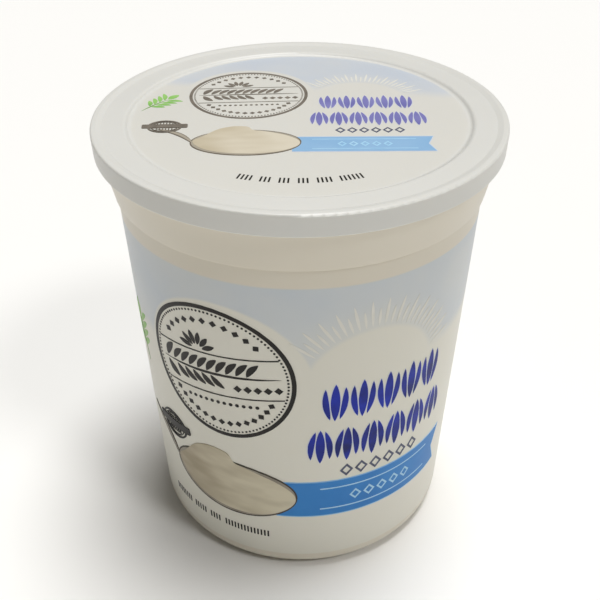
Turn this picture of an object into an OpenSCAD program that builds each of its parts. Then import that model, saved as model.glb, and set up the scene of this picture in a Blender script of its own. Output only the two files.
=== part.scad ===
// Round plastic pot of yogurt with its push-on lid, shut and full.
// The wall tapers to a rounded heel, a flared collar stiffens the mouth, and the
// lid is a stepped disc whose short skirt snaps over the pot's rim.
// Millimetres, +Z up, origin at the centre of the foot.

/* [Pack] */
// Height of the shut pack, from the foot to the top of the lid's bead
pack_h = 135.4; // [110:0.2:170]
// Diameter over the pot's rim, under the lid
rim_d = 111.4; // [90:0.2:140]

/* [Wall] */
// Draft of the wall, in degrees from upright
wall_draft = 2.15; // [1:0.05:4]
// Radius of the rounded heel
heel_r = 5.8; // [3:0.1:9]

/* [Rim and collar] */
// Height of the thick edge that the lid snaps over
rim_h = 2.6; // [1.5:0.1:4]
// How far the collar's top lies inside the rim
rim_proud = 0.4; // [0.2:0.05:0.8]
// Height of the collar that shows below the lid
collar_h = 11.9; // [8:0.1:18]
// How much the collar narrows on its way down, on the radius
collar_flare = 2.4; // [1:0.1:4]
// Width of the ledge where the collar meets the wall
collar_step = 0.75; // [0.4:0.05:1.5]

/* [Foot] */
// Width of the flat ring that the pot stands on
foot_w = 2.6; // [1.5:0.1:5]
// Height of the base panel above the floor
base_lift = 1.8; // [0.8:0.1:3]
// Radius of the moulding gate's dimple, in the middle of the base
gate_r = 4; // [2:0.5:8]
// Depth of the gate's dimple
gate_depth = 0.6; // [0.3:0.1:1]

/* [Lid] */
// Thickness of the lid's panel and land
lid_t = 1.2; // [0.8:0.1:2]
// Thickness of the lid's skirt
skirt_t = 1.2; // [0.8:0.1:2]
// How far the skirt's lower edge draws in, on the radius
skirt_draft = 0.2; // [0:0.05:0.5]
// Height of the bead along the lid's edge, above the land
bead_h = 0.4; // [0.2:0.05:0.8]
// Width of the bead, from the foot of its inner slope to the skirt
bead_w = 3.1; // [2.6:0.1:5]
// Width of the bead's inner slope
bead_slope_w = 1.5; // [0.8:0.1:1.8]
// Width from the skirt to the edge of the sunken panel
land_w = 9.2; // [7:0.1:14]
// Depth of the panel below the land
panel_drop = 0.8; // [0.6:0.1:2.5]
// Slope of the panel's side, in degrees from level
panel_slope = 40; // [25:1:60]
// How far the lip inside the skirt reaches under the rim
snap_lip = 0.4; // [0.2:0.05:0.6]
// Height of the lip's upright face, down to the skirt's lower edge
snap_lip_h = 0.85; // [0.5:0.05:1.5]
// Clearance between the lid and the pot, apart from the face they seat on
lid_gap = 0.3; // [0.2:0.05:0.4]

/* [Roundings] */
// Shoulder between the lid's bead and its skirt
shoulder_r = 0.6; // [0.4:0.1:1.3]
// Edges of the sunken panel
panel_edge_r = 1.2; // [0.4:0.1:1.2]
// Foot and crest of the bead's inner slope
bead_edge_r = 0.5; // [0.4:0.1:1]
// Lower edge of the collar, and the foot ring's inner edges
soft_edge_r = 0.35; // [0.2:0.05:0.4]

/* [Hidden] */
$fn = 120;
overrun = 0.1;

// Lid, outside
rim_r = rim_d / 2;
skirt_in_r = rim_r + lid_gap;
lid_r = skirt_in_r + skirt_t;
land_z = pack_h - bead_h;
panel_z = land_z - panel_drop;
panel_r = lid_r - land_w;
panel_floor_r = panel_r - panel_drop / tan(panel_slope);
bead_in_r = lid_r - bead_w;
bead_top_r = bead_in_r + bead_slope_w;
skirt_foot_r = lid_r - skirt_draft;

// Lid, underside: the land seats on the rim, and the skirt's lip reaches under it
seat_z = land_z - lid_t;
under_shift = lid_t * tan(panel_slope / 2);
rim_foot_z = seat_z - rim_h;
collar_top_z = rim_foot_z - rim_proud;
lip_r = skirt_in_r - snap_lip;
lip_slope_z = collar_top_z - lid_gap;
lip_top_z = lip_slope_z - snap_lip;
skirt_z = lip_top_z - snap_lip_h;

// Pot
well_r = panel_r + under_shift + lid_gap;
fill_z = panel_z - lid_t - lid_gap;
collar_top_r = rim_r - rim_proud;
collar_z = skirt_z - collar_h;
collar_foot_r = collar_top_r - collar_flare;
wall_top_r = collar_foot_r - collar_step;
heel_corner_r = wall_top_r - collar_z * tan(wall_draft);
foot_in_r = heel_corner_r - heel_r - foot_w;
base_r = foot_in_r - base_lift;

// A half outline is a list of corners, each [distance from the axis, height, rounding].
// A rounding above 0 takes a corner off, and one below 0 fills a corner in.
function at(outline, i) = let (c = outline[(i + len(outline)) % len(outline)]) [c[0], c[1]];
function unit(v) = v / norm(v);
function half_angle(a, b, c) = acos(unit(a - b) * unit(c - b)) / 2;
function touch(a, b, c, r) = b + unit(a - b) * r / tan(half_angle(a, b, c));
function centre(a, b, c, r) = b + unit(unit(a - b) + unit(c - b)) * r / sin(half_angle(a, b, c));

// The sliver between the corner b and its arc, run a little past b to cut or fuse cleanly
module sliver(a, b, c, r) {
    middle = centre(a, b, c, r);
    past_b = b + unit(b - middle) * overrun;
    difference() {
        polygon([touch(a, b, c, r), past_b, touch(c, b, a, r)]);
        translate(middle) circle(r);
    }
}

// The slivers of all corners that are rounded off (side = 1) or filled in (side = -1)
module slivers(outline, side) {
    for (i = [0:len(outline) - 1]) {
        r = outline[i][2] * side;
        if (r > 0) sliver(at(outline, i - 1), at(outline, i), at(outline, i + 1), r);
    }
}

// The outline spun about the Z axis: its rounded-off shape, then its filled-in corners
module turned(outline) {
    rotate_extrude() {
        difference() {
            polygon([for (c = outline) [c[0], c[1]]]);
            slivers(outline, 1);
        }
    }
    rotate_extrude() slivers(outline, -1);
}

// The pot and what fills it, as one solid up to just under the lid's panel
module pot() {
    color("#E9E5DB")
    turned([
        [0, fill_z, 0],
        [well_r, fill_z, 0],
        [well_r, seat_z, 0],
        [rim_r, seat_z, soft_edge_r],
        [rim_r, rim_foot_z, 0],
        [collar_top_r, collar_top_z, 0],
        [collar_top_r, skirt_z, 0],
        [collar_foot_r, collar_z, soft_edge_r],
        [wall_top_r, collar_z, 0],
        [heel_corner_r, 0, heel_r],
        [foot_in_r, 0, soft_edge_r],
        [base_r, base_lift, -soft_edge_r],
        [gate_r, base_lift, 0],
        [gate_r - gate_depth, base_lift + gate_depth, 0],
        [0, base_lift + gate_depth, 0]
    ]);
}

// The lid: sunken panel, land, bead, and a skirt with a lip that snaps under the rim
module lid() {
    color("#F1F0EC")
    turned([
        [0, panel_z, 0],
        [panel_floor_r, panel_z, -panel_edge_r],
        [panel_r, land_z, panel_edge_r],
        [bead_in_r, land_z, -bead_edge_r],
        [bead_top_r, pack_h, bead_edge_r],
        [lid_r, pack_h, shoulder_r],
        [skirt_foot_r, skirt_z, soft_edge_r],
        [lip_r, skirt_z, 0],
        [lip_r, lip_top_z, 0],
        [skirt_in_r, lip_slope_z, 0],
        [skirt_in_r, seat_z, 0],
        [panel_r + under_shift, seat_z, 0],
        [panel_floor_r + under_shift, panel_z - lid_t, 0],
        [0, panel_z - lid_t, 0]
    ]);
}

pot();
lid();
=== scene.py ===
# %% [markdown]
# # A shut pot of yogurt, finished in Blender
# A yogurt pot is two thin white mouldings: a tapered pot and a push-on lid. Both come ready made
# from the CAD model, which stays untouched. What Blender adds is all that makes the pot look
# printed and moulded: the plastic itself, a pale sky printed on the wall and the lid, and the
# printed artwork, which is made as thin films of ink that lie on the plastic.
# Everything is in metres, with +Z up, and the printed front faces -Y.

# %% Load the model
import math

import bpy
from mathutils import Matrix, Vector


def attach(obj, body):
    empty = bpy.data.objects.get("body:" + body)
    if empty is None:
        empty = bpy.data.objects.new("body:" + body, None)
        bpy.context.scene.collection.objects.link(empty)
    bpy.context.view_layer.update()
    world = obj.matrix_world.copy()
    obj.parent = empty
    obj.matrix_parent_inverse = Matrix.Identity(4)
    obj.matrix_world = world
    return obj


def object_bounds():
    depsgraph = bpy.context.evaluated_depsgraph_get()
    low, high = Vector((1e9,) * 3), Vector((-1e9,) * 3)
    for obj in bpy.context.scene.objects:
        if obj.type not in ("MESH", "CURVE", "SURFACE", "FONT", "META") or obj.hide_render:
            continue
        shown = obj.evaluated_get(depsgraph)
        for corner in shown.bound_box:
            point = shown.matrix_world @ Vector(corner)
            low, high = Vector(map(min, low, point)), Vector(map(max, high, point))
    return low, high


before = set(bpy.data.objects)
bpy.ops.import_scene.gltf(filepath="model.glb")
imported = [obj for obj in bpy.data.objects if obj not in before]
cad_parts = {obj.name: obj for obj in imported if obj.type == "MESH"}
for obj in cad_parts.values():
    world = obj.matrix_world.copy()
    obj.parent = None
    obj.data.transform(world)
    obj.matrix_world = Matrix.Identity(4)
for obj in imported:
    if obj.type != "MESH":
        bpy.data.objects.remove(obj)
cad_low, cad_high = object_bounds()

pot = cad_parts["pot"]
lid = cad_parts["lid"]
print("pot and lid:", [round(size * 1000, 1) for size in cad_high - cad_low], "mm")

# %% [markdown]
# ## Camera
# The view looks down on the lid from the front, close enough for the pot's straight sides to
# draw together towards the foot. The camera is set by its lens, its distance, how far it rises
# above the horizon, and what it aims at. It rolls very slightly, as if held by hand.

# %% Camera
MM = 0.001
LENS_MM = 52.5
CAMERA_DISTANCE = 279.3 * MM
CAMERA_RISE = math.radians(35.5)
CAMERA_ROLL = math.radians(0.34)
AIM_SHARE = 0.527
AIM_LEFT = 0.2 * MM

aim = Vector((-AIM_LEFT, 0, AIM_SHARE * cad_high.z))
back_off = Vector((0, -math.cos(CAMERA_RISE), math.sin(CAMERA_RISE))) * CAMERA_DISTANCE
bpy.ops.object.camera_add(location=aim + back_off)
camera = bpy.context.object
camera.data.lens = LENS_MM
tilt_down = Matrix.Rotation(math.pi / 2 - CAMERA_RISE, 3, "X")
camera.rotation_euler = (tilt_down @ Matrix.Rotation(-CAMERA_ROLL, 3, "Z")).to_euler()
bpy.context.scene.camera = camera
print("camera stands at", [round(c, 3) for c in camera.location])

# %% [markdown]
# ## Nodes and colours
# Colours are given as sRGB hex values, as on a colour chart, but a shader reckons in
# linear light, so one function turns them. A second one adds a node with its settings and links,
# which keeps each material short enough to read. It gives back the node's output socket, and
# a socket knows its own node, for the few nodes with more than one output.

# %% Helpers for materials
def linear(hex_colour):
    """An sRGB colour such as "#E9E5DB", in linear light, with full alpha."""
    shares = [int(hex_colour[i:i + 2], 16) / 255 for i in (1, 3, 5)]
    light = [s / 12.92 if s <= 0.04045 else ((s + 0.055) / 1.055) ** 2.4 for s in shares]
    return (*light, 1.0)


def add(tree, kind, inputs=None, output=0, **settings):
    """Adds a node and gives back an output. Inputs are its sockets' values or links."""
    made = tree.nodes.new(kind)
    for name, value in settings.items():
        setattr(made, name, value)
    for socket, value in (inputs or {}).items():
        if isinstance(value, bpy.types.NodeSocket):
            tree.links.new(value, made.inputs[socket])
        else:
            made.inputs[socket].default_value = value
    return made.outputs[output]


def new_material(name):
    """A material with a Principled shader, its node tree, and that shader's inputs."""
    made = bpy.data.materials.new(name)
    made.use_nodes = True
    return made, made.node_tree, made.node_tree.nodes["Principled BSDF"].inputs


print("white in linear light:", [round(c, 3) for c in linear("#F1F0EC")])

# %% [markdown]
# ## Where the print lies
# The pot's label is a flat sheet of film that the mould wraps round the wall, so the artwork is
# laid out flat too: across in millimetres of arc from the middle of the front, and up in
# millimetres from the floor. The wall is a straight cone, so the two rings of points either side
# of its middle say all about it. The lid's artwork lies on its sunken panel.

# %% Measure the wall and the panel
PRINT_RADIUS = 50 * MM
LABEL_TOP_MM = 111.5
LABEL_FOOT_MM = 6.5

upright = {(v.co.z, math.hypot(v.co.x, v.co.y)) for v in pot.data.vertices}
middle = cad_high.z / 2
below_z, below_r = max(ring for ring in upright if ring[0] < middle)
above_z, above_r = min(ring for ring in upright if ring[0] > middle)


def wall_radius(up_mm):
    """The wall's radius at a height in mm, in metres."""
    return below_r + (above_r - below_r) * (up_mm * MM - below_z) / (above_z - below_z)


panel_z = lid.ray_cast(Vector((0, 0, 1)), Vector((0, 0, -1)))[1].z
ends = [round(wall_radius(up_mm) / MM, 2) for up_mm in (LABEL_FOOT_MM, LABEL_TOP_MM)]
print("label radius at its foot and top:", ends, "mm; panel", round(panel_z / MM, 2), "mm up")

# %% [markdown]
# ## The printed sky
# The film carries a pale blue sky with a white sun in it. On the real film this is a halftone of
# tiny dots, so it has soft edges and no thickness, which suits a shader better than a mesh. One
# function works out how blue each point is from its place on the flat artwork, and both the wall
# and the lid use it, each with its own layout. White discs round the badge and the sun are kept
# out of the blue, the blue pales towards the sun, and below the skyline it fades to white.

# %% Helper for the sky
def sky_share(tree, across, up, layout):
    """How blue the film is, from 0 to 1. Across and up are in mm on the flat artwork."""
    flat = add(tree, "ShaderNodeCombineXYZ", {"X": across, "Y": up})
    from_badge = add(
        tree, "ShaderNodeVectorMath", {0: flat, 1: (*layout["badge"], 0)},
        output="Value", operation="DISTANCE",
    )
    from_sun = add(
        tree, "ShaderNodeVectorMath", {0: flat, 1: (*layout["sun"], 0)},
        output="Value", operation="DISTANCE",
    )
    level = add(
        tree, "ShaderNodeMath", {0: across, 1: layout["skyline_slope"], 2: up},
        operation="MULTIPLY_ADD",
    )
    fades = (
        (from_badge, layout["badge_white"] - 0.6, layout["badge_white"] + 0.6, 0),
        (from_sun, layout["sun_radius"] - 1.0, layout["sun_radius"] + 1.2, 0),
        (from_sun, layout["sun_radius"], layout["glow_radius"], 0.5),
        (level, layout["skyline"] - layout["fade"], layout["skyline"] + layout["fade"], 0),
    )
    share = 1.0
    for value, start, end, low in fades:
        limits = {"Value": value, "From Min": start, "From Max": end, "To Min": low, "To Max": 1}
        fade = add(tree, "ShaderNodeMapRange", limits, interpolation_type="SMOOTHSTEP")
        share = add(tree, "ShaderNodeMath", {0: share, 1: fade}, operation="MULTIPLY")
    return share


WALL_SKY = {
    "badge": (-22.4, 77.6), "badge_white": 26.0,
    "sun": (19.8, 76.4), "sun_radius": 19.5, "glow_radius": 31,
    "skyline": 82.5, "skyline_slope": 0.0, "fade": 3.5,
}
LID_SKY = {
    "badge": (-14.8, 15.2), "badge_white": 19.0,
    "sun": (17.0, 10.0), "sun_radius": 14.0, "glow_radius": 23,
    "skyline": 19.5, "skyline_slope": 0.13, "fade": 3.5,
}
print("sun on the wall:", WALL_SKY["sun"], "mm; sun on the lid:", LID_SKY["sun"], "mm")

# %% [markdown]
# ## The moulded skin
# Both parts are injection-moulded polypropylene, so they share one skin. Polypropylene lets a
# little light in, so it is never chalky, and its gloss is a soft satin that varies slightly from
# place to place. A faint waviness, tens of millimetres long, is the wall pulling in as it cools,
# and a grain under a millimetre across is the mould's own spark-eroded finish, drawn a little
# coarser than it is so that it can be seen at all.

# %% Helper for the moulded skin
PLASTIC_IOR = 1.49
GRAIN_MM = 0.7
GRAIN_STRENGTH = 0.12
GRAIN_DEPTH = 0.03 * MM


def give_moulded_skin(tree, shader, place, wave_mm, base_roughness):
    """Satin gloss, waviness and mould grain. Place is in metres."""
    patch = add(tree, "ShaderNodeTexNoise", {"Vector": place, "Scale": 1000 / 12})
    gloss = add(
        tree, "ShaderNodeMath", {0: patch, 1: 0.08, 2: base_roughness - 0.04},
        operation="MULTIPLY_ADD",
    )
    tree.links.new(gloss, shader["Roughness"])
    wave = add(tree, "ShaderNodeTexNoise", {"Vector": place, "Scale": 1000 / wave_mm, "Detail": 1.0})
    wavy = add(tree, "ShaderNodeBump", {"Height": wave, "Strength": 0.5, "Distance": 0.45 * MM})
    grain = add(tree, "ShaderNodeTexNoise", {"Vector": place, "Scale": 1000 / GRAIN_MM})
    relief = {
        "Height": grain, "Strength": GRAIN_STRENGTH, "Distance": GRAIN_DEPTH, "Normal": wavy,
    }
    tree.links.new(add(tree, "ShaderNodeBump", relief), shader["Normal"])
    shader["IOR"].default_value = PLASTIC_IOR
    shader["Subsurface Weight"].default_value = 0.1
    shader["Subsurface Radius"].default_value = (1.0, 0.9, 0.75)
    shader["Subsurface Scale"].default_value = 2 * MM


print("plastic IOR", PLASTIC_IOR)

# %% [markdown]
# ## The pot's plastic
# The pot is milky white with a warm tinge. Its film label is moulded into the wall, from just
# under the collar down to the heel, and is a shade lighter and cooler than the bare collar. The
# material unrolls the wall: the angle about the axis becomes millimetres across, and it is
# folded so that the far side repeats the front.

# %% Pot plastic
pot_plastic, tree, shader = new_material("moulded_polypropylene_with_film_label")
place = add(tree, "ShaderNodeTexCoord", output="Object")
axes = add(tree, "ShaderNodeSeparateXYZ", {0: place}).node.outputs
toward_front = add(tree, "ShaderNodeMath", {0: axes["Y"], 1: -1}, operation="MULTIPLY")
turn = add(tree, "ShaderNodeMath", {0: axes["X"], 1: toward_front}, operation="ARCTAN2")
halves = {0: turn, 1: math.pi / 2, 2: -math.pi / 2}
folded = add(tree, "ShaderNodeMath", halves, operation="WRAP")
across = add(tree, "ShaderNodeMath", {0: folded, 1: PRINT_RADIUS / MM}, operation="MULTIPLY")
up = add(tree, "ShaderNodeMath", {0: axes["Z"], 1: 1 / MM}, operation="MULTIPLY")

cloud = add(tree, "ShaderNodeTexNoise", {"Vector": place, "Scale": 1000 / 26, "Detail": 3.0})
cover = {"Value": cloud, "From Min": 0.35, "From Max": 0.7, "To Min": 0.7, "To Max": 1.0}
cloudy = add(tree, "ShaderNodeMapRange", cover)
clear_blue = sky_share(tree, across, up, WALL_SKY)
blue = add(tree, "ShaderNodeMath", {0: clear_blue, 1: cloudy}, operation="MULTIPLY")
colours = {0: blue, 6: linear("#E4E1D4"), 7: linear("#C8CFD5")}
film = add(tree, "ShaderNodeMix", colours, output=2, data_type="RGBA")

patch = add(tree, "ShaderNodeTexNoise", {"Vector": place, "Scale": 1000 / 40})
colours = {0: patch, 6: linear("#DCD4C2"), 7: linear("#E1DACA")}
bare = add(tree, "ShaderNodeMix", colours, output=2, data_type="RGBA")
label_middle = (LABEL_TOP_MM + LABEL_FOOT_MM) / 2
label_half = (LABEL_TOP_MM - LABEL_FOOT_MM) / 2
off_middle = add(tree, "ShaderNodeMath", {0: up, 1: label_middle}, operation="SUBTRACT")
away = add(tree, "ShaderNodeMath", {0: off_middle}, operation="ABSOLUTE")
edge = {"Value": away, "From Min": label_half - 0.25, "From Max": label_half + 0.25}
bare_share = add(tree, "ShaderNodeMapRange", edge)
colours = {0: bare_share, 6: film, 7: bare}
tree.links.new(add(tree, "ShaderNodeMix", colours, output=2, data_type="RGBA"), shader["Base Color"])
give_moulded_skin(tree, shader, place, wave_mm=35, base_roughness=0.36)
print("pot plastic:", len(tree.nodes), "nodes")

# %% [markdown]
# ## The lid's plastic
# The lid is a purer white, with a printed film on its sunken panel. The film's white is a little
# warmer than the bare rim, and its sky is a pale crescent along the far edge.

# %% Lid plastic
LID_PRINT_MM = 46.2

lid_plastic, tree, shader = new_material("moulded_lid_plastic_with_film")
place = add(tree, "ShaderNodeTexCoord", output="Object")
axes = add(tree, "ShaderNodeSeparateXYZ", {0: place}).node.outputs
across = add(tree, "ShaderNodeMath", {0: axes["X"], 1: 1 / MM}, operation="MULTIPLY")
up = add(tree, "ShaderNodeMath", {0: axes["Y"], 1: 1 / MM}, operation="MULTIPLY")

cloud = add(tree, "ShaderNodeTexNoise", {"Vector": place, "Scale": 1000 / 20, "Detail": 3.0})
cover = {"Value": cloud, "From Min": 0.35, "From Max": 0.7, "To Min": 0.65, "To Max": 1.0}
cloudy = add(tree, "ShaderNodeMapRange", cover)
clear_blue = sky_share(tree, across, up, LID_SKY)
blue = add(tree, "ShaderNodeMath", {0: clear_blue, 1: cloudy}, operation="MULTIPLY")
colours = {0: blue, 6: linear("#DEDCD4"), 7: linear("#CAD1DA")}
film = add(tree, "ShaderNodeMix", colours, output=2, data_type="RGBA")

patch = add(tree, "ShaderNodeTexNoise", {"Vector": place, "Scale": 1000 / 30})
colours = {0: patch, 6: linear("#DDDCD6"), 7: linear("#E2E1DB")}
bare = add(tree, "ShaderNodeMix", colours, output=2, data_type="RGBA")
level = add(tree, "ShaderNodeCombineXYZ", {"X": across, "Y": up})
out = add(tree, "ShaderNodeVectorMath", {0: level}, output="Value", operation="LENGTH")
edge = {"Value": out, "From Min": LID_PRINT_MM - 0.4, "From Max": LID_PRINT_MM + 0.4}
bare_share = add(tree, "ShaderNodeMapRange", edge)
colours = {0: bare_share, 6: film, 7: bare}
tree.links.new(add(tree, "ShaderNodeMix", colours, output=2, data_type="RGBA"), shader["Base Color"])
give_moulded_skin(tree, shader, place, wave_mm=28, base_roughness=0.38)

for node, plastic in ((pot, pot_plastic), (lid, lid_plastic)):
    for slot in node.material_slots:
        slot.material = plastic
print("lid plastic:", len(tree.nodes), "nodes")

# %% [markdown]
# ## Inks
# Flexographic ink is a thin satin film. It never covers quite evenly, so each ink is two close
# shades with a soft blotch between them, a couple of millimetres across, and it follows the
# plastic's grain below it. It soaks up more of the gloss than bare plastic does, so its IOR is
# set below that of the resin in it, which keeps the dark inks dark. The inks on the lid are
# paler copies of the same inks, with a painted sheen: their lighter colour stands in for the
# haze of light that the glossy lid reflects over its print.

# %% Ink materials
def new_ink(name, deep, light, blotch_mm=2.5):
    """Printing ink in two close shades."""
    made, tree, shader = new_material(name)
    place = add(tree, "ShaderNodeTexCoord", output="Object")
    blotch = {"Vector": place, "Scale": 1000 / blotch_mm, "Detail": 3.0}
    spread = add(tree, "ShaderNodeTexNoise", blotch)
    cover = add(tree, "ShaderNodeMapRange", {"Value": spread, "From Min": 0.3, "From Max": 0.7})
    colours = {0: cover, 6: linear(deep), 7: linear(light)}
    colour = add(tree, "ShaderNodeMix", colours, output=2, data_type="RGBA")
    tree.links.new(colour, shader["Base Color"])
    grain = add(tree, "ShaderNodeTexNoise", {"Vector": place, "Scale": 1000 / GRAIN_MM})
    relief = {"Height": grain, "Strength": GRAIN_STRENGTH, "Distance": GRAIN_DEPTH}
    tree.links.new(add(tree, "ShaderNodeBump", relief), shader["Normal"])
    shader["Roughness"].default_value = 0.45
    shader["IOR"].default_value = 1.33
    return made


INKS = {
    "charcoal": new_ink("charcoal_ink", "#120F0C", "#221D18"),
    # The inks for the lid are lighter copies of the wall's inks: a painted sheen for the haze of
    # light that the glossy lid reflects over its print.
    "charcoal_with_painted_sheen": new_ink("charcoal_ink_with_painted_sheen_on_lid", "#70695F", "#867E73"),
    "royal": new_ink("royal_blue_ink", "#03105C", "#0829B2", blotch_mm=9),
    "royal_with_painted_sheen": new_ink("royal_blue_ink_with_painted_sheen_on_lid", "#7371B0", "#8785BE", blotch_mm=9),
    "glow": new_ink("pale_blue_ink", "#CDD5E4", "#D8DDE6"),
    "slate": new_ink("slate_grey_ink", "#4C5166", "#61667C"),
    "ribbon": new_ink("ribbon_blue_ink", "#2879C4", "#3688D0", blotch_mm=14),
    "ribbon_edge": new_ink("light_blue_ink", "#7FB9E6", "#90C5EC"),
    "lid_ribbon": new_ink("ribbon_blue_ink_with_painted_sheen_on_lid", "#89B4DA", "#97BDDF", blotch_mm=14),
    "mist": new_ink("mist_blue_ink", "#A3D2EF", "#B6DDF3"),
    "white": new_ink("white_ink", "#E4E2D8", "#E9E7DE"),
    "black": new_ink("black_ink", "#15140F", "#24231C"),
    "spoon_edge": new_ink("dark_brown_ink", "#352E25", "#4A4136"),
    "spoon": new_ink("warm_grey_ink", "#8A8275", "#A39B8C", blotch_mm=5),
    "lid_spoon_edge": new_ink("brown_ink_with_painted_sheen_on_lid", "#6C6356", "#7F7567"),
    "lid_spoon": new_ink("warm_grey_ink_with_painted_sheen_on_lid", "#A19989", "#B5AD9D", blotch_mm=5),
    "leaf": new_ink("leaf_green_ink", "#82BC5A", "#A4D27C", blotch_mm=4),
    "leaf_dark": new_ink("deep_leaf_green_ink", "#6A9E42", "#82B458", blotch_mm=4),
}
print(len(INKS), "inks")

# %% [markdown]
# ## Drawing flat shapes
# Each printed shape starts as a flat primitive, in the artwork's own millimetres: a circle, a
# plane, or a circle with one corner for each point of an outline. Rows and rings are made once
# and repeated, with an Array modifier along a row and a spin round a ring.

# %% Helpers for flat shapes
def pick(*pieces):
    """Selects these pieces alone. The first is the active one."""
    bpy.ops.object.select_all(action="DESELECT")
    for piece in pieces:
        piece.select_set(True)
    bpy.context.view_layer.objects.active = pieces[0]
    return pieces[0]


def apply_place(piece):
    """Puts the piece's own place, turn and scale into its mesh."""
    pick(piece)
    bpy.ops.object.transform_apply(location=True, rotation=True, scale=True)
    return piece


def disc(x, y, radius, sides=48):
    """A filled circle."""
    bpy.ops.mesh.primitive_circle_add(
        vertices=sides, radius=radius * MM, fill_type="NGON", location=(x * MM, y * MM, 0)
    )
    return apply_place(bpy.context.object)


def ring(radius, width, sides=180):
    """A circular line about the origin, width wide, inside the radius."""
    piece = disc(0, 0, radius, sides)
    bpy.ops.object.mode_set(mode="EDIT")
    bpy.ops.mesh.select_all(action="SELECT")
    bpy.ops.mesh.inset(thickness=width * MM)
    bpy.ops.mesh.delete(type="FACE")
    bpy.ops.object.mode_set(mode="OBJECT")
    return piece


def bar(x, y, width, height, lean=0.0, rounding=0.0):
    """A rectangle, leaning to the right by an angle in degrees, with its corners rounded."""
    bpy.ops.mesh.primitive_plane_add(size=1, location=(x * MM, y * MM, 0))
    piece = bpy.context.object
    piece.scale = (width * MM, height * MM, 1)
    piece.rotation_euler.z = -math.radians(lean)
    apply_place(piece)
    if rounding > 0:
        bpy.ops.object.mode_set(mode="EDIT")
        bpy.ops.mesh.select_all(action="SELECT")
        bpy.ops.mesh.bevel(offset=rounding * MM, segments=4, affect="VERTICES")
        bpy.ops.object.mode_set(mode="OBJECT")
    return piece


def outline(points):
    """A filled outline, with its points in mm and anticlockwise."""
    bpy.ops.mesh.primitive_circle_add(vertices=len(points), radius=MM, fill_type="NGON")
    piece = bpy.context.object
    for vertex, point in zip(piece.data.vertices, points):
        vertex.co = (point[0] * MM, point[1] * MM, 0)
    piece.data.update()
    if piece.data.polygons[0].normal.z < 0:
        bpy.ops.object.mode_set(mode="EDIT")
        bpy.ops.mesh.select_all(action="SELECT")
        bpy.ops.mesh.flip_normals()
        bpy.ops.object.mode_set(mode="OBJECT")
    return piece


def rounded(points, steps=6):
    """A smooth closed curve through the points (Catmull-Rom)."""
    found = []
    for i in range(len(points)):
        a, b, c, d = (Vector(points[(i + k) % len(points)]) for k in (-1, 0, 1, 2))
        for step in range(steps):
            t = step / steps
            found.append(
                (2 * b + (c - a) * t + (2 * a - 5 * b + 4 * c - d) * t * t
                 + (3 * b - a - 3 * c + d) * t ** 3) / 2
            )
    return found


def petal(start, end, width, bow=0.0):
    """A pointed leaf shape from start to end, bowed to its left."""
    start, end = Vector(start), Vector(end)
    along = end - start
    left = Vector((-along.y, along.x)).normalized()
    one_side, other_side = [], []
    for k in range(13):
        swell = math.sin(math.pi * k / 12)
        spine = start + along * k / 12 + left * bow * swell
        half = left * width / 2 * swell ** 0.7
        one_side.append(spine - half)
        other_side.append(spine + half)
    return outline(one_side + other_side[-2:0:-1])


def along_row(piece, pitch, count):
    """Repeats the piece to the right, pitch mm apart."""
    pick(piece)
    array = piece.modifiers.new("row", "ARRAY")
    array.use_relative_offset = False
    array.use_constant_offset = True
    array.constant_offset_displace = (pitch * MM, 0, 0)
    array.count = count
    bpy.ops.object.modifier_apply(modifier=array.name)
    return piece


def round_ring(piece, first, last, count):
    """Repeats a piece that lies on the +X side round the origin, from one angle to another."""
    piece.rotation_euler.z = math.radians(first)
    apply_place(piece)
    bpy.ops.object.mode_set(mode="EDIT")
    bpy.ops.mesh.select_all(action="SELECT")
    bpy.ops.mesh.spin(
        steps=count - 1, dupli=True, angle=math.radians(last - first),
        center=(0, 0, 0), axis=(0, 0, -1),
    )
    bpy.ops.object.mode_set(mode="OBJECT")
    return piece


def joined(pieces, name):
    """One piece made of several."""
    pick(*pieces)
    if len(pieces) > 1:
        bpy.ops.object.join()
    made = bpy.context.object
    made.name = made.data.name = name
    return made


print("flat shapes: disc, ring, bar, outline, petal")

# %% [markdown]
# ## Laying the print on the pot
# A flat shape becomes part of the pot in the same steps as the film does in its mould. It is cut
# into narrow strips so that it can bend, stood up, bent to a cylinder, pressed onto the wall's
# cone and given a thickness that roots it in the plastic. A shape for the lid is only set down
# on the panel. The layers lie 0.03 mm apart, about as thick as a heavy print, so that what is
# printed last covers what is under it.

# %% Helpers for laying the print
LAYER = 0.03 * MM
ROOT = 0.05 * MM
STRIP_MM = 1.5

bpy.ops.mesh.primitive_cone_add(
    vertices=720, radius1=wall_radius(LABEL_FOOT_MM), radius2=wall_radius(LABEL_TOP_MM),
    depth=(LABEL_TOP_MM - LABEL_FOOT_MM) * MM, end_fill_type="NOTHING",
    location=(0, 0, (LABEL_TOP_MM + LABEL_FOOT_MM) / 2 * MM),
)
wall_form = apply_place(bpy.context.object)
wall_form.name = "wall_form"
prints = []


def copied(piece):
    """A second piece with its own mesh."""
    pick(piece)
    bpy.ops.object.duplicate()
    return bpy.context.object


def set_out(piece, x, y, size=1.0, turn=0.0):
    """A copy of the artwork at its place on the flat layout, in mm and degrees."""
    made = copied(piece)
    made.scale = (size, size, size)
    made.rotation_euler.z = math.radians(turn)
    made.location = (x * MM, y * MM, 0)
    return apply_place(made)


def keep_flat_place(piece):
    """Keeps each point's place on the flat artwork as a UV map, 100 mm to the unit."""
    layer = piece.data.uv_layers.get("flat") or piece.data.uv_layers.new(name="flat")
    for loop in piece.data.loops:
        spot = piece.data.vertices[loop.vertex_index].co
        layer.data[loop.index].uv = (spot.x * 10, spot.y * 10)


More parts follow.
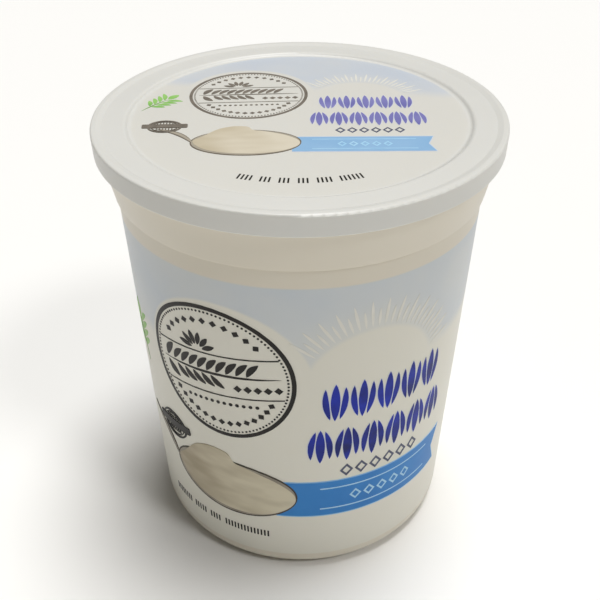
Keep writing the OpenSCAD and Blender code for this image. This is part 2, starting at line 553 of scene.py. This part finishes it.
def cut_strips(piece):
    """Cuts the flat shape by upright lines, so that it can bend."""
    xs = [v.co.x for v in piece.data.vertices]
    strip = STRIP_MM * MM
    pick(piece)
    bpy.ops.object.mode_set(mode="EDIT")
    for k in range(math.ceil(min(xs) / strip), math.floor(max(xs) / strip) + 1):
        bpy.ops.mesh.select_all(action="SELECT")
        bpy.ops.mesh.bisect(plane_co=(k * strip, 0, 0), plane_no=(1, 0, 0))
    bpy.ops.object.mode_set(mode="OBJECT")


def apply_all(piece):
    """Applies the piece's modifiers in their order."""
    pick(piece)
    for modifier in list(piece.modifiers):
        bpy.ops.object.modifier_apply(modifier=modifier.name)


def give_finish(piece, name, ink):
    """Names the print, gives it its ink and fixes it to the pot's body."""
    piece.name = piece.data.name = name
    piece.data.materials.clear()
    piece.data.materials.append(INKS[ink])
    pick(piece)
    bpy.ops.object.shade_smooth_by_angle(angle=math.radians(30))
    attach(piece, "root")
    prints.append(piece)


def thicken(piece, layer):
    """Gives the print its thickness, from its face down to just inside the plastic."""
    solid = piece.modifiers.new("film", "SOLIDIFY")
    solid.thickness = layer * LAYER + ROOT
    solid.offset = -1


def on_lid(piece, name, ink, layer):
    """Sets a flat shape down on the lid's panel."""
    keep_flat_place(piece)
    thicken(piece, layer)
    apply_all(piece)
    piece.location.z = panel_z + layer * LAYER
    apply_place(piece)
    give_finish(piece, name, ink)


def on_wall(piece, name, ink, layer):
    """Wraps a flat shape round the wall, on the front and again on the far side."""
    keep_flat_place(piece)
    cut_strips(piece)
    piece.rotation_euler.x = math.pi / 2
    apply_place(piece)
    xs = [v.co.x for v in piece.data.vertices]
    bend = piece.modifiers.new("bend", "SIMPLE_DEFORM")
    bend.deform_method = "BEND"
    bend.deform_axis = "Z"
    bend.angle = (max(xs) - min(xs)) / PRINT_RADIUS
    apply_all(piece)
    piece.location.y = -PRINT_RADIUS
    apply_place(piece)
    press = piece.modifiers.new("press", "SHRINKWRAP")
    press.target = wall_form
    press.wrap_method = "NEAREST_SURFACEPOINT"
    press.wrap_mode = "ABOVE_SURFACE"
    press.offset = layer * LAYER
    thicken(piece, layer)
    apply_all(piece)
    far_side = copied(piece)
    far_side.rotation_euler.z = math.pi
    apply_place(far_side)
    give_finish(piece, name, ink)
    give_finish(far_side, name + "_far_side", ink)


print("layers of print", LAYER / MM, "mm apart")

# %% [markdown]
# ## The round badge
# A badge with a heavy rim, a dotted line inside it, and a row of small lozenges along the top and
# the bottom. Its middle holds a branch of leaves between two thin lines, with a fan of leaves
# above. All of it is plain ornament of a kind that no one owns. The badge is drawn once, at the
# size it has on the wall, and set down smaller on the lid.

# %% Badge
BADGE_R = 23.1
DOT_R = 21.0
DOTS = 108
LOZENGE_R = 17.9
LOZENGE = 1.5
BADGE_ON_WALL = (-24.3, 78.7)
LID_BADGE_SIZE = 0.745

parts = [ring(BADGE_R, 1.25)]
parts.append(round_ring(disc(DOT_R, 0, 0.34, 8), 0, 360 * (DOTS - 1) / DOTS, DOTS))
for first, last, count in ((38, 142, 11), (212, 328, 14)):
    lozenge = bar(LOZENGE_R, 0, LOZENGE, LOZENGE, lean=45)
    parts.append(round_ring(lozenge, first, last, count))
parts.append(bar(0, 6.8, 39.0, 0.4))
parts.append(bar(0, -7.4, 38.4, 0.4))

LEAF_PITCH = 3.05
parts.append(petal((-19.3, 0.1), (19.3, 0.1), 0.8))
parts.append(along_row(petal((-14.6, 0.8), (-10.6, 5.2), 1.9, 0.4), LEAF_PITCH, 9))
parts.append(along_row(petal((-13.6, -0.6), (-9.9, -4.6), 1.9, -0.4), LEAF_PITCH, 5))
parts.append(petal((-17.6, 0.8), (-14.0, 6.1), 2.3, 0.5))
parts.append(petal((-17.6, -0.7), (-13.8, -5.6), 2.3, -0.5))
parts.append(along_row(bar(6.4, -3.9, 1.75, 1.75, lean=45), 2.9, 5))
parts.append(along_row(disc(-11.0, -10.3, 0.6, 8), 2.0, 12))

FAN = Vector((-4, 7.4))
for angle in range(-70, 71, 28):
    lean = math.radians(angle)
    outward = Vector((math.sin(lean), math.cos(lean)))
    parts.append(petal(FAN + 1.8 * outward, FAN + 6.3 * outward, 1.6))
badge = joined(parts, "badge_art")
print("badge:", len(badge.data.polygons), "faces")

on_wall(set_out(badge, *BADGE_ON_WALL, turn=7), "wall_badge", "charcoal", 2)
# On the lid the badge is printed in a paler charcoal: a painted sheen for the light that the glossy
# lid reflects.
lid_badge = set_out(badge, *LID_SKY["badge"], size=LID_BADGE_SIZE, turn=2.5)
on_lid(lid_badge, "lid_badge", "charcoal_with_painted_sheen", 2)

# %% [markdown]
# ## The sun's rays
# Thin white rays stand round the top of the printed sun, long and short by turns. They are crisp
# on the film, so they are cut as shapes: one long and one short ray, each repeated by a spin
# about the sun. They stop short of the badge, whose white disc would cover them.

# %% Rays
def rays(inner, long_end, short_end, width, first, last, count):
    """Long rays with short ones between them, round the origin."""
    step = (last - first) / (count - 1)
    long_rays = round_ring(petal((inner, 0), (long_end, 0), width), first, last, count)
    short_one = petal((inner, 0), (short_end, 0), width * 0.85)
    short_rays = round_ring(short_one, first + step / 2, last - step / 2, count - 1)
    return joined([long_rays, short_rays], "rays")


wall_rays = rays(20.4, 29.0, 26.2, 0.85, 16, 142, 14)
on_wall(set_out(wall_rays, *WALL_SKY["sun"]), "wall_rays", "white", 1)
lid_rays = rays(14.6, 21.0, 18.8, 0.6, 24, 136, 13)
on_lid(set_out(lid_rays, *LID_SKY["sun"]), "lid_rays", "white", 1)
print("rays:", len(wall_rays.data.polygons), "on the wall")

# %% [markdown]
# ## The two rows of blue ornament
# The loudest thing on the pot is a block of heavy royal blue in two rows. Here it is a frieze of
# palmettes, three leaves that open like a tulip, upwards in the first row and downwards in the
# second. It has the weight and rhythm of display type without being any letter. A slightly
# larger copy in pale blue under it makes the soft glow round each shape. A row of small open
# lozenges follows below.

# %% Blue ornament
PALMETTE_PITCH = 7.95


def middle_leaf(x, y, height, side, grow):
    """The palmette's upright leaf, upwards for side 1 and downwards for side -1."""
    half = height / 2 + grow
    return [petal((x, y - side * half), (x, y + side * half), 2.7 + 2 * grow)]


def side_leaves(x, y, height, side, grow):
    """The palmette's two outer leaves, which lean away from the middle one."""
    half = height / 2 + grow
    found = []
    for hand in (-1, 1):
        root = (x + hand * 1.4, y - side * (half - 0.6))
        tip = (x + hand * 2.8, y + side * (half - 1.5))
        found.append(petal(root, tip, 1.85 + 2 * grow, -0.55 * hand * side))
    return found


def title(leaves, name, grow=0.0):
    """Both rows of these leaves, centred on the artwork's origin. The lower one hangs down."""
    rows = []
    for y, height, side, count in ((8.5, 13.9, 1, 5), (-8.3, 13.5, -1, 6)):
        first = leaves(-PALMETTE_PITCH * (count - 1) / 2, y, height, side, grow)
        rows.append(along_row(joined(first, "palmette"), PALMETTE_PITCH, count))
    return joined(rows, name)


def open_lozenges(x, y, width, height, line, pitch, count):
    """A row of lozenges drawn as outlines."""
    piece = ring(height / 2, line, 4)
    piece.scale.x = width / height
    piece.location = (x * MM, y * MM, 0)
    return along_row(apply_place(piece), pitch, count)


middles = title(middle_leaf, "middles_art")
sides = title(side_leaves, "sides_art")
middle_glow = title(middle_leaf, "middle_glow_art", grow=0.22)
side_glow = title(side_leaves, "side_glow_art", grow=0.22)
title_art = joined([middles, sides], "title_art")
small = joined([open_lozenges(-11.75, -19.4, 4.2, 5.2, 0.75, 4.7, 6)], "small_row_art")
TITLE_ON_WALL = (25.2, 63.6)
TITLE_ON_LID = (18.9, 3.5)
LID_TITLE_SIZE = 0.68
# On the lid the title is printed in a paler blue than on the wall: a painted sheen for the light
# that the glossy lid reflects.
for art, name, wall_ink, lid_ink, layer in (
    (side_glow, "title_side_glow", "glow", "glow", 1.0),
    (middle_glow, "title_middle_glow", "glow", "glow", 1.4),
    (title_art, "title", "royal", "royal_with_painted_sheen", 2),
    (small, "small_row", "slate", "slate", 2),
):
    on_wall(set_out(art, *TITLE_ON_WALL), "wall_" + name, wall_ink, layer)
    on_lid(set_out(art, *TITLE_ON_LID, size=LID_TITLE_SIZE), "lid_" + name, lid_ink, layer)
print("title:", len(title_art.data.polygons), "faces")

# %% [markdown]
# ## The ribbon
# A blue ribbon runs out from under the spoon and ends in a shallow fork. It has a light edge, two
# thin pale lines along it and a row of pale open lozenges between them.

# %% Ribbon
def ribbon(start, end, low, high, fork, grow=0.0):
    """A band with a forked right end."""
    middle = (low + high) / 2
    return outline([
        (start, low - grow), (end + grow, low - grow), (end - fork + grow, middle),
        (end + grow, high + grow), (start, high + grow),
    ])


def ribbon_marks(start, end, band, inset, line, first, pitch):
    """Two thin lines along the ribbon's band and five open lozenges between them."""
    low, high = band["low"], band["high"]
    middle, level = (start + end) / 2, (low + high) / 2
    found = [bar(middle, y, end - start, line) for y in (low + inset, high - inset)]
    found.append(open_lozenges(first, level, pitch * 0.85, pitch, line * 1.3, pitch, 5))
    return found


WALL_RIBBON = {"start": -8, "end": 53, "low": 25.3, "high": 40.1, "fork": 3.2}
LID_RIBBON = {"start": -2, "end": 35.2, "low": -22.5, "high": -13.9, "fork": 1.6}

on_wall(ribbon(**WALL_RIBBON, grow=0.45), "wall_ribbon_edge", "ribbon_edge", 1)
on_wall(ribbon(**WALL_RIBBON), "wall_ribbon", "ribbon", 2)
marks = ribbon_marks(5.6, 45.5, WALL_RIBBON, inset=2.9, line=0.5, first=16.8, pitch=4.6)
on_wall(joined(marks, "marks"), "wall_ribbon_marks", "mist", 3)

# On the lid the ribbon and its edge take paler inks than on the wall: a painted sheen for the light
# that the glossy lid reflects.
on_lid(ribbon(**LID_RIBBON, grow=0.3), "lid_ribbon_edge", "glow", 1)
on_lid(ribbon(**LID_RIBBON), "lid_ribbon", "lid_ribbon", 2)
marks = ribbon_marks(3.2, 30.6, LID_RIBBON, inset=1.5, line=0.36, first=11.0, pitch=3.0)
on_lid(joined(marks, "marks"), "lid_ribbon_marks", "mist", 3)
print("ribbons laid")

# %% [markdown]
# ## The spoon and its yogurt
# A spoon heaped with yogurt lies over the ribbon's start. The spoon is a dark outline and a
# paler rim that show below the heap, with a handle that rises to the left. The yogurt is cream
# coloured and rounder in tone than flat ink: its material shades it from a lit right side to a
# darker left, with soft folds, along the flat artwork's own coordinates, which the piece keeps
# as a UV map.

# %% Spoon and yogurt
def new_yogurt_print(name, left_x, right_x, shade, light):
    """Cream halftone that goes from shade on the left to light on the right."""
    made, tree, shader = new_material(name)
    flat = add(tree, "ShaderNodeUVMap", uv_map="flat")
    axes = add(tree, "ShaderNodeSeparateXYZ", {0: flat}).node.outputs
    sides = {"Value": axes["X"], "From Min": left_x / 100, "From Max": right_x / 100}
    lit = add(tree, "ShaderNodeMapRange", sides)
    slanted = {"Vector": flat, "Rotation": (0, 0, 0.5), "Scale": (8, 22, 1)}
    folds_at = add(tree, "ShaderNodeMapping", slanted)
    folds = add(tree, "ShaderNodeTexNoise", {"Vector": folds_at, "Scale": 1.0, "Detail": 1.5})
    shift = {0: folds, 1: 1.6, 2: -0.8}
    uneven = add(tree, "ShaderNodeMath", shift, operation="MULTIPLY_ADD")
    share = add(tree, "ShaderNodeMath", {0: lit, 1: uneven}, operation="ADD", use_clamp=True)
    colours = {0: share, 6: linear(shade), 7: linear(light)}
    colour = add(tree, "ShaderNodeMix", colours, output=2, data_type="RGBA")
    tree.links.new(colour, shader["Base Color"])
    shader["Roughness"].default_value = 0.42
    shader["IOR"].default_value = 1.4
    return made


INKS["wall_yogurt"] = new_yogurt_print("cream_halftone", -46, -8, "#A99B80", "#D5CCB3")
# The lid's cream is paler than the wall's: a painted sheen for the light that the glossy lid
# reflects.
INKS["lid_yogurt"] = new_yogurt_print("cream_halftone_with_painted_sheen_on_lid", -30, -6, "#C6BAA0", "#DCD3BF")


def bowl(trim):
    """The spoon's bowl, made smaller all round by trim in mm."""
    turns = [math.tau * k / 72 for k in range(72)]
    return outline([((22 - trim) * math.cos(a), (11.6 - trim) * math.sin(a)) for a in turns])


bowl_edge = bowl(0)
bowl_face = bowl(0.55)
handle_edge = petal((-20.6, -0.8), (-36.5, 12.8), 2.6, -2.2)
handle_face = petal((-20.6, -0.8), (-36.1, 12.5), 1.5, -2.2)
heap = outline(rounded([
    (-21.0, 0.8), (-16.8, -5.4), (-9.0, -9.0), (2.0, -10.1), (12.0, -8.8), (18.8, -5.2),
    (21.4, -1.4), (20.4, 2.2), (16.2, 6.0), (11.0, 8.6), (6.5, 10.2), (2.4, 11.4),
    (0.2, 14.4), (-5.0, 14.9), (-9.4, 13.4), (-12.6, 11.2), (-17.4, 5.4),
]))
SPOON_ON_WALL = (-23.3, 33.6)
SPOON_ON_LID = (-14.2, -17.0)
LID_SPOON_SIZE = 0.665
# The lid's spoon and yogurt take paler inks than the wall's: a painted sheen for the light that the
# glossy lid reflects.
for art, name, wall_ink, lid_ink, layer in (
    (bowl_edge, "bowl_edge", "spoon_edge", "lid_spoon_edge", 3.0),
    (handle_edge, "handle_edge", "spoon_edge", "lid_spoon_edge", 3.4),
    (bowl_face, "bowl_face", "spoon", "lid_spoon", 4.0),
    (handle_face, "handle_face", "spoon", "lid_spoon", 4.4),
    (heap, "yogurt", "wall_yogurt", "lid_yogurt", 5),
):
    on_wall(set_out(art, *SPOON_ON_WALL), "wall_" + name, wall_ink, layer)
    on_lid(set_out(art, *SPOON_ON_LID, size=LID_SPOON_SIZE), "lid_" + name, lid_ink, layer)
print("yogurt outline:", len(heap.data.vertices), "points")

# %% [markdown]
# ## Seal, sprig and rows of ticks
# The small things round the edge: an oval seal with a hatched band, a sprig of leaves, and rows
# of plain ticks where a pack carries its small print.

# %% Seal
SEAL_ON_WALL = (-45.0, 47.4)
SEAL_ON_LID = (-36.6, -7.0)

parts = [ring(4.6, 0.5, 72), ring(3.7, 0.25, 60)]
parts.append(along_row(bar(-2.0, 2.35, 0.3, 0.9), 0.8, 6))
parts.append(along_row(bar(-2.0, -1.9, 0.3, 1.3), 0.8, 6))
seal = joined(parts, "seal_art")
banner = bar(0, 0.3, 12.0, 2.6, rounding=0.5)
for art, name, layer in ((seal, "seal", 7), (banner, "banner", 8)):
    art.scale = (1.15, 0.92, 1)
    apply_place(art)
    on_wall(set_out(art, *SEAL_ON_WALL, size=1.2, turn=8), "wall_" + name, "charcoal", layer)
    # On the lid the seal is printed in a paler charcoal: a painted sheen for the light that the
    # glossy lid reflects.
    small_art = set_out(art, *SEAL_ON_LID, size=0.9, turn=2)
    on_lid(small_art, "lid_" + name, "charcoal_with_painted_sheen", layer)
print("seal:", len(seal.data.polygons), "faces")

# %% Sprig
SPRIG_ON_WALL = (-59.0, 69.0)
SPRIG_ON_LID = (-42.6, 6.6)

leaves = [petal((8.4, 0.0), (13.4, 0.2), 2.6, 0.2)]
for k in range(4):
    root, reach = 2.2 * k, 4.6 + 0.35 * k
    for side in (-1, 1):
        start = (root + 0.5, side * 0.45)
        tip = (root + 0.5 + reach * 0.62, side * (0.45 + reach * 0.8))
        leaves.append(petal(start, tip, 1.6, -0.35 * side))
sprig = joined(leaves, "sprig_art")
stalk = joined([petal((-4.0, -0.6), (8.2, 0.0), 0.55, 0.3)], "stalk_art")
for art, name, ink in ((sprig, "sprig", "leaf"), (stalk, "stalk", "leaf_dark")):
    on_wall(set_out(art, *SPRIG_ON_WALL, size=1.25, turn=98), "wall_" + name, ink, 1)
    on_lid(set_out(art, *SPRIG_ON_LID, size=0.85, turn=48), "lid_" + name, ink, 1)
print("sprig:", len(leaves), "leaves")

# %% Rows of ticks
def ticks(groups, width, height, gap, space):
    """Groups of upright ticks in a row that is centred on the origin."""
    found, x = [], 0.0
    for count in groups:
        found.append(along_row(bar(x + width / 2, 0, width, height), width + gap, count))
        x += count * (width + gap) + space
    row = joined(found, "ticks")
    row.location.x = -(x - space - gap) / 2 * MM
    return apply_place(row)


SMALL_PRINT_ON_WALL = (-30.5, 15.4)
WEIGHT_ROW_ON_LID = (0, -38.4)

small_print = ticks((8, 5, 4, 14), width=0.55, height=2.7, gap=0.6, space=1.5)
on_wall(set_out(small_print, *SMALL_PRINT_ON_WALL), "wall_small_print", "charcoal", 1)

weight_row = ticks((4, 3, 3, 3, 4, 6), width=0.45, height=2.6, gap=0.6, space=1.5)
arc = weight_row.modifiers.new("arc", "SIMPLE_DEFORM")
arc.deform_method = "BEND"
arc.deform_axis = "Z"
arc.angle = math.radians(38)
apply_all(weight_row)
on_lid(set_out(weight_row, *WEIGHT_ROW_ON_LID), "lid_weight_row", "black", 1)
print("rows of ticks laid")

# %% [markdown]
# ## Clearing the drawing board
# The flat originals and the cone that the film was pressed onto were only tools, so they go.

# %% Remove the tools
flat_art = [badge, wall_rays, lid_rays, title_art, side_glow, middle_glow, small]
flat_art += [bowl_edge, bowl_face, handle_edge, handle_face, heap, seal, banner]
flat_art += [sprig, stalk, small_print, weight_row]
for tool in (*flat_art, wall_form):
    bpy.data.objects.remove(tool)
print(len(prints), "pieces of print")

# %% [markdown]
# ## Floor and light
# A plain pale floor and soft light from above, so that the lid is the brightest part. It comes
# from a dome that is bright overhead and dim at the horizon, and from two far-off soft lamps:
# one high over the pot, and a smaller one at the front right, which turns the wall gently from
# lit right to shaded left and draws the fine shadows under the lid's skirt and the collar. Both
# are of the sun type, so the floor is lit alike as far as it goes.

# %% Floor and light
FLOOR_SIZE = 8
BACKDROP_STRENGTH = 1.0

bpy.ops.mesh.primitive_plane_add(size=FLOOR_SIZE, location=(0, 0, 0))
floor = bpy.context.object
floor.name = "floor"
floor_paint, tree, shader = new_material("pale_floor")
shader["Base Color"].default_value = linear("#F9F8F5")
shader["Roughness"].default_value = 0.8
floor.data.materials.append(floor_paint)


def soft_light(name, place, spread, strength, colour):
    """A far-off round lamp, so many degrees across, that shines from place to the pot."""
    bpy.ops.object.light_add(type="SUN", location=place)
    lamp = bpy.context.object
    lamp.name = name
    lamp.data.angle = math.radians(spread)
    lamp.data.energy = strength
    lamp.data.color = linear(colour)[:3]
    lamp.rotation_euler = (Vector(place) - aim).to_track_quat("Z", "Y").to_euler()


soft_light("overhead", (0.5, 0.4, 3.8), 25, 2.5, "#FFFFFF")
soft_light("front", (1.7, -1.4, 2.9), 12, 0.63, "#FFFFFF")

world = bpy.data.worlds.new("studio")
bpy.context.scene.world = world
world.use_nodes = True
tree = world.node_tree
sky_light = tree.nodes["Background"]
sky_light.inputs["Color"].default_value = linear("#FFFCF6")
direction = add(tree, "ShaderNodeTexCoord", output="Generated")
height = add(tree, "ShaderNodeSeparateXYZ", {0: direction}, output="Z")
above = add(tree, "ShaderNodeMath", {0: height, 1: 0.0}, operation="MAXIMUM")
dome = add(tree, "ShaderNodeMath", {0: above, 1: 2.0}, operation="POWER")
strength = add(tree, "ShaderNodeMath", {0: dome, 1: 0.22, 2: 0.02}, operation="MULTIPLY_ADD")
tree.links.new(strength, sky_light.inputs["Strength"])
wall_paper = {"Color": linear("#FDFDFC"), "Strength": BACKDROP_STRENGTH}
backdrop = add(tree, "ShaderNodeBackground", wall_paper)
seen = add(tree, "ShaderNodeLightPath", output="Is Camera Ray")
lit = add(tree, "ShaderNodeMixShader", {0: seen, 1: sky_light.outputs[0], 2: backdrop})
tree.links.new(lit, tree.nodes["World Output"].inputs["Surface"])
bpy.context.scene.view_settings.view_transform = "Standard"
